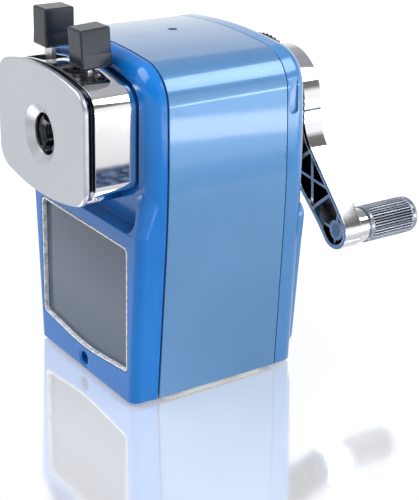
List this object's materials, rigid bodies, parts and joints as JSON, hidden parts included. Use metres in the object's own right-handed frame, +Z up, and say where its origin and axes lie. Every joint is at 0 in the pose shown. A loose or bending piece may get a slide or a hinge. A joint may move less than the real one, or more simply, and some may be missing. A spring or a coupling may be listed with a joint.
{
  "type": "pencil sharpener",
  "caption": "Desk pencil sharpener with a pull-out clamping nose, squeeze tabs, clear shavings drawer and a rear crank driving a planetary helical cutter.",
  "frame": {"origin": "centre of the footprint on the table, under the middle of the case", "axes": "+Z up; +Y from the nose to the crank, parallel to the crank axis; +X to the right as seen from the front"},
  "size_m": [0.0716, 0.1197, 0.116],
  "materials": {
    "case_paint": "gloss",
    "frame_plastic": "gloss",
    "chrome": "polished",
    "satin_face": "satin",
    "black_plastic": "satin",
    "grip_plastic": "knurled",
    "drawer_clear": "smoky clear plastic",
    "steel": "plain",
    "tool_steel": "ground",
    "zinc_casting": "cast",
    "bearing": "plain",
    "guide_plastic": "satin",
    "rubber": "matt"
  },
  "bodies": {
    "housing": {"case_shell": "case_paint", "front_frame": "frame_plastic", "rear_plate": "frame_plastic", "base_plate": "steel", "rubber_feet": "rubber", "clamp_socket": "frame_plastic", "tie_posts": "steel", "rear_screws": "steel", "rod_bushes": "guide_plastic", "return_springs": "steel"},
    "drawer": {"shavings_drawer": "drawer_clear"},
    "nose": {"face_plate": "satin_face", "nose_shell": "chrome", "nose_back_plate": "steel", "guide_rods": "steel", "rod_clips": "steel", "lever_pins": "steel", "lever_spring": "steel"},
    "left_clamp": {"left_lever": "steel", "left_tab": "black_plastic", "left_jaw": "black_plastic"},
    "right_clamp": {"right_lever": "steel", "right_tab": "black_plastic", "right_jaw": "black_plastic"},
    "cutter_unit": {"bayonet_ring": "black_plastic", "ring_gear": "zinc_casting", "bearing_bush": "bearing"},
    "crank": {"cutter_carrier": "zinc_casting", "cutter_axle": "steel", "crank_arm": "chrome", "hub_screw": "steel", "knob_spindle": "steel", "knob_collar": "chrome"},
    "cutter": {"helical_cutter": "tool_steel", "cutter_pinion": "tool_steel"},
    "knob": {"crank_knob": "grip_plastic"}
  },
  "joints": [
    {"name": "drawer_slide", "type": "slide", "parent": "housing", "child": "drawer", "axis": [0, -1, 0], "range_m": [0, 0.045]},
    {"name": "nose_slide", "type": "slide", "parent": "housing", "child": "nose", "axis": [0, -1, 0], "range_m": [0, 0.028], "stiffness_N_per_m": 150, "springref_m": -0.02, "deforming": ["return_springs"]},
    {"name": "left_tab_squeeze", "type": "hinge", "parent": "nose", "child": "left_clamp", "pos_m": [-0.0107, -0.034, 0.094], "axis": [0, 1, 0], "range_deg": [0, 9], "stiffness_Nm_per_rad": 0.2, "springref_deg": -17.19, "deforming": ["lever_spring"]},
    {"name": "right_tab_squeeze", "type": "hinge", "parent": "nose", "child": "right_clamp", "pos_m": [0.0107, -0.034, 0.094], "axis": [0, -1, 0], "range_deg": [0, 9], "stiffness_Nm_per_rad": 0.2, "springref_deg": -17.19, "deforming": ["lever_spring"]},
    {"name": "unit_turn", "type": "hinge", "parent": "housing", "child": "cutter_unit", "pos_m": [0, 0.03, 0.0812], "axis": [0, 1, 0], "range_deg": [0, 40]},
    {"name": "crank_spin", "type": "hinge", "parent": "cutter_unit", "child": "crank", "pos_m": [0, 0.03, 0.0812], "axis": [0, 1, 0], "continuous": true},
    {"name": "cutter_spin", "type": "hinge", "parent": "crank", "child": "cutter", "pos_m": [0, 0.0477, 0.0812], "axis": [0, 0.9816, 0.1908], "continuous": true},
    {"name": "knob_spin", "type": "hinge", "parent": "crank", "child": "knob", "pos_m": [0.0313, 0.06, 0.04389], "axis": [0, 1, 0], "continuous": true}
  ],
  "couplings": [
    {"joint": "cutter_spin", "follows": "crank_spin", "ratio": -1.8462}
  ]
}
